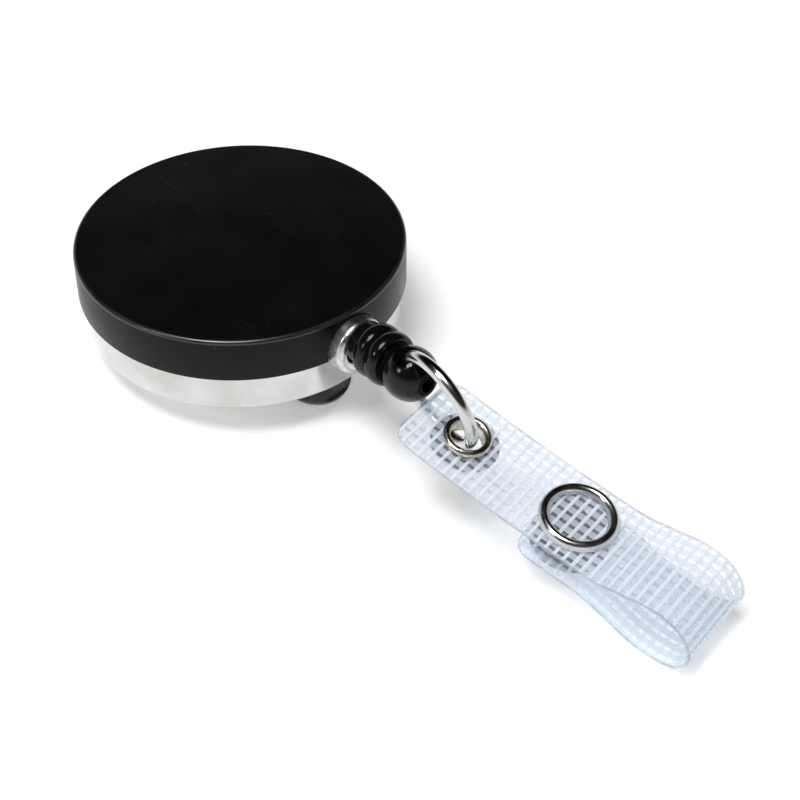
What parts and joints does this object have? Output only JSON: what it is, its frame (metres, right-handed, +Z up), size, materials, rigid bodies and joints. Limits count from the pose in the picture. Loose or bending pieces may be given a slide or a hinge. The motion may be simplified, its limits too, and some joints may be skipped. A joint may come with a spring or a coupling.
{
  "type": "retractable badge reel",
  "caption": "Round sprung cord reel with a belt clip, ending in a ribbed bead, a wire ring and a clear woven strap that snaps closed round a badge slot.",
  "frame": {"origin": "middle of the bounding box at table level, with the reel lying on its clip", "axes": "+X from the case towards the strap's loop, +Z up from the table"},
  "size_m": [0.0934, 0.04, 0.0202],
  "materials": {
    "satin_black": "satin black lacquer with faint handling marks",
    "chrome": "bright plated, slightly smudged",
    "nickel": "warm nickel plate",
    "spring_steel": "dark spring steel",
    "gloss_black": "glossy moulded black plastic",
    "clear_vinyl": "clear vinyl laminated over a white woven mesh",
    "black_cord": "braided black nylon",
    "white_acetal": "moulded white acetal"
  },
  "bodies": {
    "case": {"front_cap": "satin_black", "rear_shell": "chrome", "cord_eyelet": "chrome", "axle_post": "white_acetal", "power_spring": "spring_steel", "clip_rivet": "chrome", "clip_base": "spring_steel"},
    "belt_clip": {"clip_tongue": "spring_steel"},
    "spool": {"spool": "white_acetal", "wound_cord": "black_cord"},
    "cord_end": {"cord_lead": "black_cord", "cord_knot": "black_cord"},
    "bead": {"cord_bead": "gloss_black"},
    "ring": {"connector_ring": "chrome"},
    "strap": {"strap_upper": "clear_vinyl", "grommet_eyelet": "nickel", "grommet_washer": "nickel", "snap_prong_ring_top": "chrome", "snap_socket": "chrome"},
    "flap": {"strap_flap": "clear_vinyl", "snap_stud": "chrome", "snap_prong_ring_bottom": "chrome"}
  },
  "joints": [
    {"name": "clip_flex", "type": "hinge", "parent": "case", "child": "belt_clip", "pos_m": [-0.03681, 0, 0.00098], "axis": [0, 1, 0], "range_deg": [0, 15], "stiffness_Nm_per_rad": 1.2},
    {"name": "cord_pull", "type": "slide", "parent": "case", "child": "cord_end", "axis": [0.9893, -0.0575, 0.1339], "range_m": [0, 0.6], "stiffness_N_per_m": 0.8, "springref_m": -0.6, "deforming": ["cord_lead"]},
    {"name": "spool_spin", "type": "hinge", "parent": "case", "child": "spool", "pos_m": [-0.02595, 0, 0.00313], "axis": [-0.0802, 0, 0.9968], "range_deg": [0, 2400]},
    {"name": "bead_twist", "type": "hinge", "parent": "cord_end", "child": "bead", "pos_m": [-0.00614, 0, 0.01252], "axis": [0.9893, -0.0575, 0.1339], "range_deg": [-180, 180]},
    {"name": "ring_swing", "type": "hinge", "parent": "bead", "child": "ring", "pos_m": [0.00356, -0.00056, 0.01383], "axis": [-0.0782, -0.2199, 0.9724], "range_deg": [-60, 60]},
    {"name": "strap_swing", "type": "hinge", "parent": "ring", "child": "strap", "pos_m": [0.00882, -0.0012, 0.01393], "axis": [-0.1027, -0.9684, -0.2271], "range_deg": [0, 150]},
    {"name": "flap_open", "type": "hinge", "parent": "strap", "child": "flap", "pos_m": [0.04544, 0.00547, 0.00298], "axis": [0.164, -0.986, -0.0305], "range_deg": [0, 100]}
  ],
  "couplings": [
    {"joint": "spool_spin", "follows": "cord_pull", "rad_per_m": 69.8}
  ]
}
